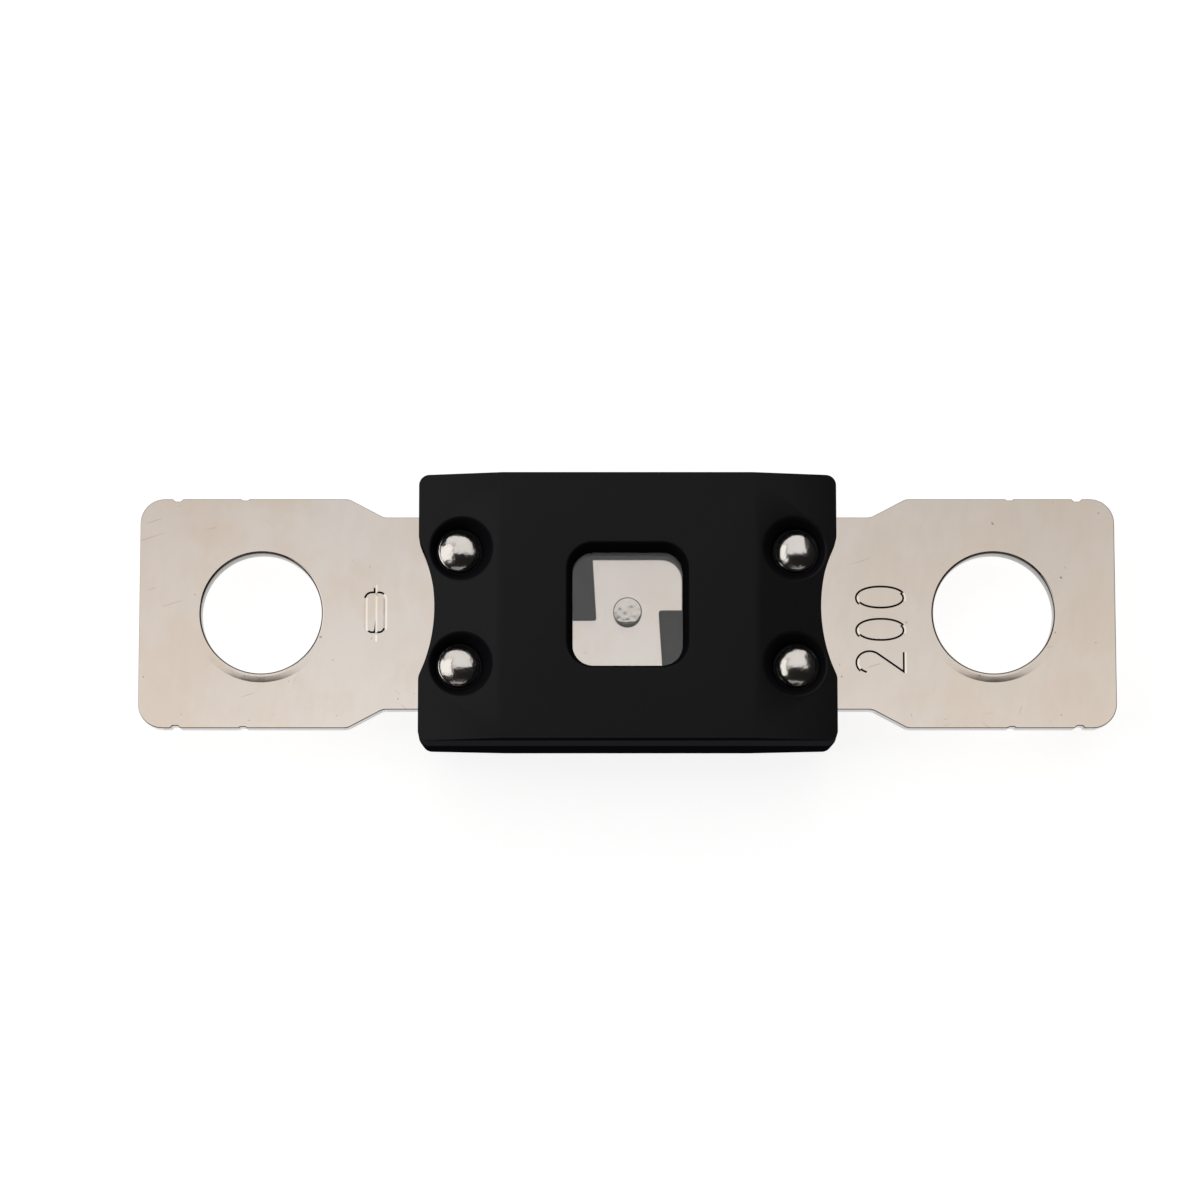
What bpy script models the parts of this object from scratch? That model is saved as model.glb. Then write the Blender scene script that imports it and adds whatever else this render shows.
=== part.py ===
"""Bolt-down strip fuse: one plated strip clamped between two moulded shells by four rivets.

Metres, +Z up. +X runs along the strip and +Z points out of the window. The origin is the middle of
the lower shell's flat base.
"""

import math

import bmesh
import bpy

MM = 0.001

# Fits
SEAT_GAP = 0.3 * MM  # between two pieces where one rests on the other
SIDE_CLEARANCE = 0.15 * MM  # round a pin in its hole and a plate in its recess

# Strip with its bolt pads
HOLE_PITCH = 51.0 * MM
BOLT_HOLE_DIAMETER = 8.4 * MM
PAD_END = 8.5 * MM  # from the middle of a bolt hole to the end of the strip
PAD_WIDTH = 16.1 * MM
PAD_CORNER = 1.7 * MM
STRIP_THICKNESS = 1.5 * MM
NECK_WIDTH = 13.5 * MM
NECK_LENGTH = 2.5 * MM  # what shows of a neck between the housing and the taper
TAPER_LENGTH = 2.45 * MM
TAPER_ROUND = 1.0 * MM

# Fusible section, left standing between two notches from opposite edges
LINK_WIDTH = 4.4 * MM  # at its waist, level with the bottom of a notch
LINK_FLARE = 0.45 * MM  # how much further out each side of the link lies at the strip's edge
NOTCH_LENGTH = 3.05 * MM
BACK_NOTCH_DEPTH = 7.3 * MM
FRONT_NOTCH_DEPTH = 6.85 * MM
NOTCH_CORNER = 0.25 * MM
NOTCH_MOUTH_ROUND = 0.4 * MM

# Pellet riveted into the fusible section
PELLET_DIAMETER = 2.0 * MM
PELLET_SHANK = 1.1 * MM
PELLET_HEAD = 0.35 * MM
PELLET_DISH = 0.05 * MM
PELLET_DISH_DIAMETER = 1.4 * MM

# Housing shells
HOUSING_LENGTH = 29.0 * MM
HOUSING_HEIGHT = 10.7 * MM
SIDE_WALL = 2.25 * MM  # beside the strip, at the parting face
SIDE_DRAFT = math.radians(1.0)
END_DRAFT = math.radians(1.0)
PLATEAU_LENGTH = 17.2 * MM
END_DROP = 1.55 * MM  # how far the roof falls from the plateau to each end
HOUSING_CORNER = 0.7 * MM
HOUSING_EDGE_ROUND = 0.3 * MM
SCALLOP_WIDTH = 9.6 * MM
SCALLOP_DEPTH = 1.1 * MM
SCALLOP_BLEND = 1.0 * MM

# Hollow round the fusible section
CHAMBER_PAST_NOTCH = 2.25 * MM
CHAMBER_EDGE_GRIP = 0.45 * MM  # how far the shells reach over each edge of the strip
UPPER_CHAMBER_DEPTH = 2.3 * MM
LOWER_CHAMBER_DEPTH = 3.1 * MM
CHAMBER_CORNER = 1.0 * MM
CHAMBER_DRAFT = math.radians(2.0)

# Window and its clear plate
WINDOW_LENGTH = 8.35 * MM
WINDOW_WIDTH = 8.6 * MM
WINDOW_CORNER = 1.8 * MM
WINDOW_TAPER = 0.36 * MM
WINDOW_EDGE_BREAK = 0.15 * MM
LENS_THICKNESS = 1.0 * MM
LENS_OVER_PELLET = 0.5 * MM
LENS_LEDGE = 1.1 * MM
LENS_EDGE_BREAK = 0.12 * MM

# Rivets and their pockets
RIVET_FROM_END = 2.85 * MM
RIVET_SPACING = 8.0 * MM
RIVET_SHANK = 1.9 * MM
RIVET_HEAD = 2.9 * MM
RIVET_HEAD_EDGE = 0.5 * MM  # upright edge under the crown
RIVET_CROWN = 0.3 * MM  # rise of the crown over that edge
POCKET_FLOOR_THICKNESS = 1.4 * MM
POCKET_FLOOR_CLEARANCE = 0.12 * MM
POCKET_RIM_DIAMETER = 4.4 * MM

# Pegs that line the shells up
PEG_SPACING = 12.0 * MM
PEG_DIAMETER = 1.0 * MM
PEG_HEIGHT = 0.8 * MM
PEG_DRAFT = math.radians(4.0)

# How finely round shapes are drawn
ROUND_STEPS = 24
BOLT_HOLE_STEPS = 40
SCALLOP_STEPS = 12
CROWN_STEPS = 6
CORNER_STEP = math.radians(18.0)
PAST = 1.0 * MM  # how far a cutter runs past the face that it starts from

# Worked out from the sizes above
MIDDLE = HOUSING_HEIGHT / 2
STRIP_HALF = STRIP_THICKNESS / 2
CHANNEL_DEPTH = STRIP_HALF + SEAT_GAP
CHANNEL_WIDTH = NECK_WIDTH + 2 * SEAT_GAP
HOUSING_WIDTH = CHANNEL_WIDTH + 2 * SIDE_WALL
NECK_END = HOUSING_LENGTH / 2 + NECK_LENGTH
NOTCH_FAR_SIDE = LINK_WIDTH / 2 + NOTCH_LENGTH
CHAMBER_LENGTH = 2 * (NOTCH_FAR_SIDE + CHAMBER_PAST_NOTCH)
CHAMBER_WIDTH = NECK_WIDTH - 2 * CHAMBER_EDGE_GRIP
PARTING_FACE = SEAT_GAP / 2
POCKET_FLOOR = CHANNEL_DEPTH + POCKET_FLOOR_THICKNESS
RIVET_HEAD_BASE = POCKET_FLOOR + SEAT_GAP
RIVET_X = HOUSING_LENGTH / 2 - RIVET_FROM_END
RIVET_Y = RIVET_SPACING / 2
RIVET_HOLE = RIVET_SHANK + 2 * SIDE_CLEARANCE
PELLET_TOP = STRIP_HALF + SEAT_GAP + PELLET_HEAD
LENS_TOP = PELLET_TOP + LENS_OVER_PELLET + LENS_THICKNESS
LENS_SEAT = LENS_TOP + SEAT_GAP
LENS_LENGTH = WINDOW_LENGTH + 2 * LENS_LEDGE
LENS_WIDTH = WINDOW_WIDTH + 2 * LENS_LEDGE
LENS_CORNER = WINDOW_CORNER
PEG_X = PEG_SPACING / 2
PEG_Y = (CHANNEL_WIDTH + HOUSING_WIDTH) / 4


def clear_scene():
    for item in list(bpy.data.objects):
        bpy.data.objects.remove(item, do_unlink=True)


def material(name, colour, roughness, metallic=0.0, transmission=0.0):
    finish = bpy.data.materials.new(name)
    finish.use_nodes = True
    shader = finish.node_tree.nodes["Principled BSDF"]
    shader.inputs["Base Color"].default_value = (*colour, 1.0)
    shader.inputs["Roughness"].default_value = roughness
    shader.inputs["Metallic"].default_value = metallic
    shader.inputs["Transmission Weight"].default_value = transmission
    return finish


def object_from(bm, name, finish=None):
    """The bmesh as a new object, its faces pointing out."""
    bmesh.ops.recalc_face_normals(bm, faces=bm.faces)
    mesh = bpy.data.meshes.new(name)
    bm.to_mesh(mesh)
    bm.free()
    shape = bpy.data.objects.new(name, mesh)
    bpy.context.scene.collection.objects.link(shape)
    if finish:
        mesh.materials.append(finish)
    return shape


def smooth(shape, angle=math.radians(30.0)):
    shape.data.shade_smooth()
    shape.data.set_sharp_from_angle(angle=angle)


def rounded(corners):
    """A flat outline from (x, y, radius) corners, with an arc in each corner that has a radius."""
    outline = []
    for index, (x, y, radius) in enumerate(corners):
        before = corners[index - 1]
        after = corners[(index + 1) % len(corners)]
        to_before = (before[0] - x, before[1] - y)
        to_after = (after[0] - x, after[1] - y)
        length_before = math.hypot(*to_before)
        length_after = math.hypot(*to_after)
        start = math.atan2(to_before[1], to_before[0])
        opening = math.remainder(math.atan2(to_after[1], to_after[0]) - start, 2 * math.pi)
        turn = math.pi - abs(opening)
        if radius == 0 or turn < 1e-6:
            outline.append((x, y))
            continue
        tangent = min(radius * math.tan(turn / 2), 0.45 * min(length_before, length_after))
        radius = tangent / math.tan(turn / 2)
        to_centre = start + opening / 2
        reach = math.hypot(radius, tangent)
        centre_x = x + reach * math.cos(to_centre)
        centre_y = y + reach * math.sin(to_centre)
        steps = max(2, round(turn / CORNER_STEP))
        side = math.copysign(1.0, opening)
        for step in range(steps + 1):
            angle = to_centre + math.pi + side * turn * (0.5 - step / steps)
            outline.append((centre_x + radius * math.cos(angle), centre_y + radius * math.sin(angle)))
    return outline


def rounded_rectangle(length, width, radius):
    x = length / 2
    y = width / 2
    return rounded([(-x, -y, radius), (x, -y, radius), (x, y, radius), (-x, y, radius)])


def loft(name, sections, finish=None):
    """A closed solid through sections (z, outline), from the lowest up. Outlines have as many points."""
    bm = bmesh.new()
    rings = [[bm.verts.new((x, y, z)) for x, y in outline] for z, outline in sections]
    bm.faces.new(list(reversed(rings[0])))
    bm.faces.new(rings[-1])
    for low, high in zip(rings, rings[1:]):
        for index in range(len(low)):
            bm.faces.new((low[index - 1], low[index], high[index], high[index - 1]))
    return object_from(bm, name, finish)


def turned(name, profile, steps=ROUND_STEPS, finish=None):
    """A solid turned about Z from (radius, z) points that start and end on the axis."""
    bm = bmesh.new()
    points = [bm.verts.new((radius, 0, z)) for radius, z in profile]
    edges = [bm.edges.new(pair) for pair in zip(points, points[1:])]
    bmesh.ops.spin(bm, geom=points + edges, cent=(0, 0, 0), axis=(0, 0, 1), angle=2 * math.pi, steps=steps)
    bmesh.ops.remove_doubles(bm, verts=bm.verts, dist=1e-7)
    return object_from(bm, name, finish)


def combine(body, tool, operation="DIFFERENCE"):
    """Cuts the tool out of the body, or joins it on, in the body's own coordinates."""
    tool.parent = body
    tool.hide_render = True
    tool.display_type = "WIRE"
    modifier = body.modifiers.new(tool.name, "BOOLEAN")
    modifier.operation = operation
    modifier.solver = "EXACT"
    modifier.object = tool


def round_cutter(name, diameter, x, y, low, high, steps=ROUND_STEPS):
    cutter = turned(name, [(0, low), (diameter / 2, low), (diameter / 2, high), (0, high)], steps)
    cutter.location = (x, y, 0)
    return cutter


def rivet_places():
    for side, x in (("left", -RIVET_X), ("right", RIVET_X)):
        for edge, y in (("front", -RIVET_Y), ("back", RIVET_Y)):
            yield f"{side}_{edge}", x, y


def strip_edge(notch_depth):
    """The front edge of the strip from left to right, with one notch beside the link."""
    end = HOLE_PITCH / 2 + PAD_END
    pad = PAD_WIDTH / 2
    neck = NECK_WIDTH / 2
    shoulder = NECK_END + TAPER_LENGTH
    link = LINK_WIDTH / 2
    notch_floor = notch_depth - neck
    return [
        (-end, -pad, PAD_CORNER),
        (-shoulder, -pad, TAPER_ROUND),
        (-NECK_END, -neck, TAPER_ROUND),
        (link + LINK_FLARE, -neck, NOTCH_MOUTH_ROUND),
        (link, notch_floor, NOTCH_CORNER),
        (NOTCH_FAR_SIDE, notch_floor, NOTCH_CORNER),
        (NOTCH_FAR_SIDE, -neck, NOTCH_MOUTH_ROUND),
        (NECK_END, -neck, TAPER_ROUND),
        (shoulder, -pad, TAPER_ROUND),
        (end, -pad, PAD_CORNER),
    ]


def strip_outline():
    """The front edge, and the back edge as one like it turned half round."""
    back = [(-x, -y, radius) for x, y, radius in strip_edge(BACK_NOTCH_DEPTH)]
    return rounded(strip_edge(FRONT_NOTCH_DEPTH) + back)


def make_strip(finish):
    outline = strip_outline()
    strip = loft("fuse_strip", [(-STRIP_HALF, outline), (STRIP_HALF, outline)], finish)
    strip.location.z = MIDDLE
    low = -STRIP_HALF - PAST
    high = STRIP_HALF + PAST
    for side, x in (("left", -HOLE_PITCH / 2), ("right", HOLE_PITCH / 2)):
        name = f"bolt_hole_{side}"
        combine(strip, round_cutter(name, BOLT_HOLE_DIAMETER, x, 0, low, high, BOLT_HOLE_STEPS))
    for place, x, y in rivet_places():
        combine(strip, round_cutter(f"strip_hole_{place}", RIVET_HOLE, x, y, low, high))
    pellet_hole = PELLET_SHANK + 2 * SIDE_CLEARANCE
    combine(strip, round_cutter("pellet_hole", pellet_hole, 0, 0, low, high))


def make_pellet(finish):
    """A dished button on top, a shank through the strip and a flat head under it."""
    seat = STRIP_HALF + SEAT_GAP
    top = PELLET_TOP
    head = PELLET_DIAMETER / 2
    shank = PELLET_SHANK / 2
    rounding = PELLET_HEAD / 3
    profile = [
        (0, top - PELLET_DISH),
        (PELLET_DISH_DIAMETER / 4, top - PELLET_DISH),
        (PELLET_DISH_DIAMETER / 2, top),
        (head - rounding, top),
        (head, top - rounding),
        (head, seat),
        (shank, seat),
        (shank, -seat),
        (head, -seat),
        (head, rounding - top),
        (head - rounding, -top),
        (0, -top),
    ]
    pellet = turned("tin_pellet", profile, finish=finish)
    pellet.location.z = MIDDLE
    smooth(pellet)


def make_rivets(finish):
    """Solid rivets: a shank through shells and strip, and the same crowned head at both ends."""
    shank = RIVET_SHANK / 2
    head = RIVET_HEAD / 2
    top = RIVET_HEAD_BASE + RIVET_HEAD_EDGE + RIVET_CROWN
    sphere = (head**2 + RIVET_CROWN**2) / (2 * RIVET_CROWN)
    reach = math.asin(head / sphere)
    angles = [reach * step / CROWN_STEPS for step in range(CROWN_STEPS + 1)]
    crown = [(sphere * math.sin(angle), top - sphere * (1 - math.cos(angle))) for angle in angles]
    upper = [*crown, (head, RIVET_HEAD_BASE), (shank, RIVET_HEAD_BASE)]
    lower = [(radius, -z) for radius, z in reversed(upper)]
    for place, x, y in rivet_places():
        rivet = turned(f"rivet_{place}", upper + lower, finish=finish)
        rivet.location = (x, y, MIDDLE)
        smooth(rivet)


def housing_outline(height):
    """The shell's plan at a height above the parting plane: drafted walls and a scallop in each end."""
    x = HOUSING_LENGTH / 2 - height * math.tan(END_DRAFT)
    y = HOUSING_WIDTH / 2 - height * math.tan(SIDE_DRAFT)
    chord = SCALLOP_WIDTH / 2
    radius = (chord**2 + SCALLOP_DEPTH**2) / (2 * SCALLOP_DEPTH)
    reach = math.asin(chord / radius)
    half = [(x, -y, HOUSING_CORNER), (x, -chord, SCALLOP_BLEND)]
    for step in range(1, SCALLOP_STEPS):
        angle = reach * (2 * step / SCALLOP_STEPS - 1)
        depth = radius * math.cos(angle) - (radius - SCALLOP_DEPTH)
        half.append((x - depth, radius * math.sin(angle), 0))
    half += [(x, chord, SCALLOP_BLEND), (x, y, HOUSING_CORNER)]
    return rounded(half + [(-px, -py, corner) for px, py, corner in half])


def housing_blank(name, finish):
    """The outside of one shell, from its parting face up: drafted walls, a plateau and sloping ends."""
    sections = [(z, housing_outline(z)) for z in (PARTING_FACE, MIDDLE)]
    shell = loft(name, sections, finish)
    bm = bmesh.new()
    bm.from_mesh(shell.data)
    slope = math.atan2(END_DROP, (HOUSING_LENGTH - PLATEAU_LENGTH) / 2)
    for side in (-1, 1):
        cut = bmesh.ops.bisect_plane(
            bm,
            geom=bm.verts[:] + bm.edges[:] + bm.faces[:],
            plane_co=(side * PLATEAU_LENGTH / 2, 0, MIDDLE),
            plane_no=(side * math.sin(slope), 0, math.cos(slope)),
            clear_outer=True,
        )
        rim = [item for item in cut["geom_cut"] if isinstance(item, bmesh.types.BMEdge)]
        bmesh.ops.edgeloop_fill(bm, edges=rim)
    bmesh.ops.recalc_face_normals(bm, faces=bm.faces)
    roof_edges = [
        edge
        for edge in bm.edges
        if edge.calc_face_angle(0) > math.radians(60.0) and max(face.normal.z for face in edge.link_faces) > 0.9
    ]
    bmesh.ops.bevel(
        bm,
        geom=roof_edges,
        offset=HOUSING_EDGE_ROUND,
        offset_type="OFFSET",
        segments=2,
        profile=0.5,
        affect="EDGES",
        clamp_overlap=True,
    )
    bm.to_mesh(shell.data)
    bm.free()
    return shell


def cut_channel(shell):
    """The half channel that the strip lies in, from end to end."""
    outline = rounded_rectangle(HOUSING_LENGTH + 2 * PAST, CHANNEL_WIDTH, 0)
    combine(shell, loft(f"{shell.name}_channel", [(-PAST, outline), (CHANNEL_DEPTH, outline)]))


def cut_chamber(shell, depth):
    narrower = 2 * depth * math.tan(CHAMBER_DRAFT)
    mouth = rounded_rectangle(CHAMBER_LENGTH, CHAMBER_WIDTH, CHAMBER_CORNER)
    roof = rounded_rectangle(CHAMBER_LENGTH - narrower, CHAMBER_WIDTH - narrower, CHAMBER_CORNER)
    sections = [(-PAST, mouth), (0, mouth), (depth, roof)]
    combine(shell, loft(f"{shell.name}_chamber", sections))


def cut_pockets(shell):
    """A conical pocket over each rivet head, and the bore for its shank."""
    floor = RIVET_HEAD / 2 + POCKET_FLOOR_CLEARANCE
    rim = POCKET_RIM_DIAMETER / 2
    slope = END_DROP / ((HOUSING_LENGTH - PLATEAU_LENGTH) / 2)
    rim_height = MIDDLE - slope * (RIVET_X - PLATEAU_LENGTH / 2)
    top = MIDDLE + PAST
    top_radius = floor + (rim - floor) * (top - POCKET_FLOOR) / (rim_height - POCKET_FLOOR)
    bore = RIVET_HOLE / 2
    profile = [
        (0, -PAST),
        (bore, -PAST),
        (bore, POCKET_FLOOR),
        (floor, POCKET_FLOOR),
        (top_radius, top),
        (0, top),
    ]
    for place, x, y in rivet_places():
        cutter = turned(f"{shell.name}_pocket_{place}", profile)
        cutter.location = (x, y, 0)
        combine(shell, cutter)


def cut_window(shell):
    """The tapered window with a broken edge, and the recess behind it that holds the clear plate."""
    at_ledge = rounded_rectangle(
        WINDOW_LENGTH - 2 * WINDOW_TAPER, WINDOW_WIDTH - 2 * WINDOW_TAPER, WINDOW_CORNER - WINDOW_TAPER
    )
    at_rim = rounded_rectangle(WINDOW_LENGTH, WINDOW_WIDTH, WINDOW_CORNER)
    wider = 2 * WINDOW_EDGE_BREAK
    at_face = rounded_rectangle(WINDOW_LENGTH + wider, WINDOW_WIDTH + wider, WINDOW_CORNER + WINDOW_EDGE_BREAK)
    sections = [
        (0, at_ledge),
        (LENS_TOP, at_ledge),
        (MIDDLE - WINDOW_EDGE_BREAK, at_rim),
        (MIDDLE, at_face),
        (MIDDLE + PAST, at_face),
    ]
    combine(shell, loft("window_opening", sections))
    recess = rounded_rectangle(
        LENS_LENGTH + 2 * SIDE_CLEARANCE, LENS_WIDTH + 2 * SIDE_CLEARANCE, LENS_CORNER + SIDE_CLEARANCE
    )
    combine(shell, loft("lens_recess", [(0, recess), (LENS_SEAT, recess)]))


def make_lens(finish):
    """The clear plate, its upper face against the ledge of the window."""
    face = rounded_rectangle(LENS_LENGTH - 2 * LENS_EDGE_BREAK, LENS_WIDTH - 2 * LENS_EDGE_BREAK, LENS_CORNER)
    middle = rounded_rectangle(LENS_LENGTH, LENS_WIDTH, LENS_CORNER)
    low = LENS_TOP - LENS_THICKNESS
    sections = [
        (low, face),
        (low + LENS_EDGE_BREAK, middle),
        (LENS_TOP - LENS_EDGE_BREAK, middle),
        (LENS_TOP, face),
    ]
    lens = loft("window_lens", sections, finish)
    lens.location.z = MIDDLE


def peg_places():
    return (("left", -PEG_X, PEG_Y), ("right", PEG_X, -PEG_Y))


def make_upper_housing(finish):
    shell = housing_blank("upper_housing", finish)
    shell.location.z = MIDDLE
    cut_channel(shell)
    cut_chamber(shell, UPPER_CHAMBER_DEPTH)
    cut_pockets(shell)
    cut_window(shell)
    depth = PEG_HEIGHT + SEAT_GAP
    for side, x, y in peg_places():
        name = f"peg_socket_{side}"
        diameter = PEG_DIAMETER + 2 * SIDE_CLEARANCE
        combine(shell, round_cutter(name, diameter, x, y, -PAST, PARTING_FACE + depth))


def make_lower_housing(finish):
    """The upper shell's twin, turned over, with no window and with the two pegs."""
    shell = housing_blank("lower_housing", finish)
    shell.location.z = MIDDLE
    shell.rotation_euler.x = math.pi
    cut_channel(shell)
    cut_chamber(shell, LOWER_CHAMBER_DEPTH)
    cut_pockets(shell)
    root = PEG_DIAMETER / 2
    tip = root - PEG_HEIGHT * math.tan(PEG_DRAFT)
    tip_height = PARTING_FACE - PEG_HEIGHT
    profile = [(0, PARTING_FACE + PAST), (root, PARTING_FACE + PAST), (root, PARTING_FACE), (tip, tip_height)]
    for side, x, y in peg_places():
        peg = turned(f"peg_{side}", [*profile, (0, tip_height)])
        peg.location = (x, -y, 0)
        combine(shell, peg, "UNION")


def main():
    clear_scene()
    plating = material("bright_plating", (0.72, 0.69, 0.65), 0.22, metallic=1.0)
    tin = material("tin", (0.60, 0.57, 0.54), 0.35, metallic=1.0)
    rivet_steel = material("polished_rivet", (0.78, 0.75, 0.71), 0.10, metallic=1.0)
    black = material("black_moulding", (0.012, 0.012, 0.014), 0.42)
    clear = material("clear_plate", (0.95, 0.96, 0.96), 0.04, transmission=1.0)
    make_strip(plating)
    make_pellet(tin)
    make_lower_housing(black)
    make_upper_housing(black)
    make_lens(clear)
    make_rivets(rivet_steel)


main()
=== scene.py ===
"""Dresses a bolt-down strip fuse: fine pieces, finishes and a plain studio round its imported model.

Metres, +Z up. +X runs along the strip and +Z points out of the window. The origin is the middle of
the lower shell's flat base.
"""

import math

import bmesh
import bpy
from bpy.props import FloatProperty, FloatVectorProperty, PointerProperty, StringProperty
from mathutils import Matrix, Vector, noise


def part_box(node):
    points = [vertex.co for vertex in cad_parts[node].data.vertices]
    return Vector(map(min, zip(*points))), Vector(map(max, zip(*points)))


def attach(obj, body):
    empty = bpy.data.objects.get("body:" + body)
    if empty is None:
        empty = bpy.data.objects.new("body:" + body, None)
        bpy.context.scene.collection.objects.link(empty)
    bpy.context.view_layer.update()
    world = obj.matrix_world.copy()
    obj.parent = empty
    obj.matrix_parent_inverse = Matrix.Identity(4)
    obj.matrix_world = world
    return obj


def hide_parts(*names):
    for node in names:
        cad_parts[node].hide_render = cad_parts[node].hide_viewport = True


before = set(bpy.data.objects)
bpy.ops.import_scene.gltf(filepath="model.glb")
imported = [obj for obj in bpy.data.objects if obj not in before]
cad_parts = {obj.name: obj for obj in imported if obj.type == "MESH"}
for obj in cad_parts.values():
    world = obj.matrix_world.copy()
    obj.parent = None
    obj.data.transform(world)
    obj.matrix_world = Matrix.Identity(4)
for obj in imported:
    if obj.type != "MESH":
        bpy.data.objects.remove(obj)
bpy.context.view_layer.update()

bl_info = {
    "name": "Strip Fuse Dresser",
    "version": (1, 0, 0),
    "blender": (4, 5, 0),
    "location": "3D View > Sidebar > Strip Fuse",
    "description": "Makes the fine pieces, the finishes and the studio of a bolt-down strip fuse",
    "category": "Object",
}

MM = 0.001
BODY = "root"

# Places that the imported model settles
STRIP_LOW, STRIP_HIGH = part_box("fuse_strip")
LOWER_LOW, LOWER_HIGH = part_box("lower_housing")
_, UPPER_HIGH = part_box("upper_housing")
LENS_LOW, LENS_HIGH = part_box("window_lens")
PELLET_LOW, PELLET_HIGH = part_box("tin_pellet")
RIVET_LOW, RIVET_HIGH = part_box("rivet_right_back")
MIDDLE = (STRIP_LOW.z + STRIP_HIGH.z) / 2
STRIP_HALF = (STRIP_HIGH.z - STRIP_LOW.z) / 2
SHELL_HEIGHT = UPPER_HIGH.z - MIDDLE
HOUSING_LENGTH = LOWER_HIGH.x - LOWER_LOW.x
HOUSING_WIDTH = LOWER_HIGH.y - LOWER_LOW.y
LENS_TOP = LENS_HIGH.z - MIDDLE
RIVET_X = (RIVET_LOW.x + RIVET_HIGH.x) / 2
RIVET_Y = (RIVET_LOW.y + RIVET_HIGH.y) / 2
RIVET_HEAD = (RIVET_HIGH.x - RIVET_LOW.x) / 2
RIVET_TOP = RIVET_HIGH.z - MIDDLE

# How finely round shapes are drawn
CORNER_STEP = math.radians(7.5)
ROUND_STEPS = 96
HOLE_STEPS = 128
BORE_STEPS = 32
PELLET_STEPS = 64
MERGE = 1e-7  # points closer than this are one

# Small sizes
PAST = 1.0 * MM  # how far a cutter runs past the face that it starts from
FIT = 0.03 * MM  # between pieces that touch
HAIR = 0.004 * MM  # a step too small to see
LEAST_RADIUS = 0.01 * MM
LENS_EDGE = 0.06 * MM
CHAMBER_DRAFT = math.radians(2.0)

# Bends in degrees that are still shaded smooth
SMALL_BEND = 28.0
BROAD_BEND = 13.0  # beside a face that is broad or level
FLAT_BEND = 4.0  # between two broad faces

# Colours that break up a finish, and the rivets' painted edge shade
SPECK = (0.20, 0.16, 0.13)
TIN_PATCH = (0.60, 0.55, 0.50)
RIVET_HAZE = (0.63, 0.59, 0.55)
# Painted shade: near-black on the steep edge of each rivet head, for the dark ring and dark reflections there
RIVET_EDGE_PAINTED_SHADE = (0.06, 0.06, 0.06)
CLEAR = (0.97, 0.975, 0.98)

# Lamps and floor
LAMP_WHITE = (1.0, 0.99, 0.98)
LAMP_HEIGHT = 0.50
BAR_HEIGHT = 0.40
FLOOR_SIZE = 3.0


# Sizes and colours that a user would change


def length(name, millimetres, description):
    return FloatProperty(name=name, description=description, default=millimetres * MM, unit="LENGTH")


def angle(name, degrees, description):
    return FloatProperty(name=name, description=description, default=math.radians(degrees), subtype="ANGLE")


def colour(name, values, description):
    return FloatVectorProperty(name=name, description=description, default=values, subtype="COLOR", size=3)


def factor(name, value, description):
    return FloatProperty(name=name, description=description, default=value)


class FUSE_PG_strip(bpy.types.PropertyGroup):
    hole_pitch: length("Hole pitch", 51.0, "Between the middles of the two bolt holes")
    hole_diameter: length("Hole diameter", 8.4, "Across a bolt hole")
    neck_width: length("Neck width", 13.5, "Across the strip where it leaves the housing")
    neck_length: length("Neck length", 2.5, "From the housing to the taper")
    taper_length: length("Taper length", 2.45, "From a neck to the full width of a pad")
    pad_corner: length("Pad corner", 1.7, "Radius of a pad's corners")
    taper_round: length("Taper round", 1.0, "Radius where a taper starts and ends")
    link_width: length("Link width", 4.4, "Across the bar between the notches, at its waist")
    link_flare: length("Link flare", 0.45, "How much further out the bar's sides lie at the strip's edge")
    notch_length: length("Notch length", 3.05, "Along the strip, of each notch")
    back_notch: length("Back notch", 7.3, "Depth of the notch in the back edge")
    front_notch: length("Front notch", 6.85, "Depth of the notch in the front edge")
    notch_corner: length("Notch corner", 0.18, "Radius in a notch's inner corners")
    edge_roll: length("Edge roll", 0.06, "Rounding that the stamping die leaves on the upper edges")
    burr_round: length("Lower edge", 0.03, "Rounding of the lower edges")
    mouth_round: length("Mouth round", 0.17, "Radius at the mouth of a bolt hole")
    lip_width: length("Lip width", 0.65, "Width of the low lip round a bolt hole")
    lip_height: length("Lip height", 0.02, "Height of that lip")
    nick_width: length("Nick width", 0.38, "Floor of the small steps that the die leaves in a pad's edges")
    outer_nick: length("Outer nick", 31.4, "From the fuse's middle to a pad's outer nick")
    outer_nick_depth: length("Outer nick depth", 0.17, "Depth of that nick")
    inner_nick: length("Inner nick", 26.7, "From the fuse's middle to a pad's inner nick")
    inner_nick_depth: length("Inner nick depth", 0.09, "Depth of that nick")
    nick_round: length("Nick round", 0.12, "Radius in the corners of the nicks")


class FUSE_PG_stamp(bpy.types.PropertyGroup):
    digits: StringProperty(name="Number", description="Plain number in the right neck", default="200")
    height: length("Height", 3.57, "Height of a digit")
    width: length("Width", 1.75, "Width of a digit")
    spacing: length("Spacing", 2.27, "From one digit to the next")
    middle: length("Middle", -1.2, "Middle of the number across the strip")
    groove: length("Groove", 0.27, "Width of a stamped line")
    depth: length("Depth", 0.04, "Depth of a stamped line")
    foot: length("Foot", 19.42, "Where the digits' feet stand along the strip")
    symbol_place: length("Symbol place", -17.55, "Middle of the fuse symbol along the strip")
    symbol_length: length("Symbol length", 4.0, "From end to end of the symbol's line")


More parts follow.
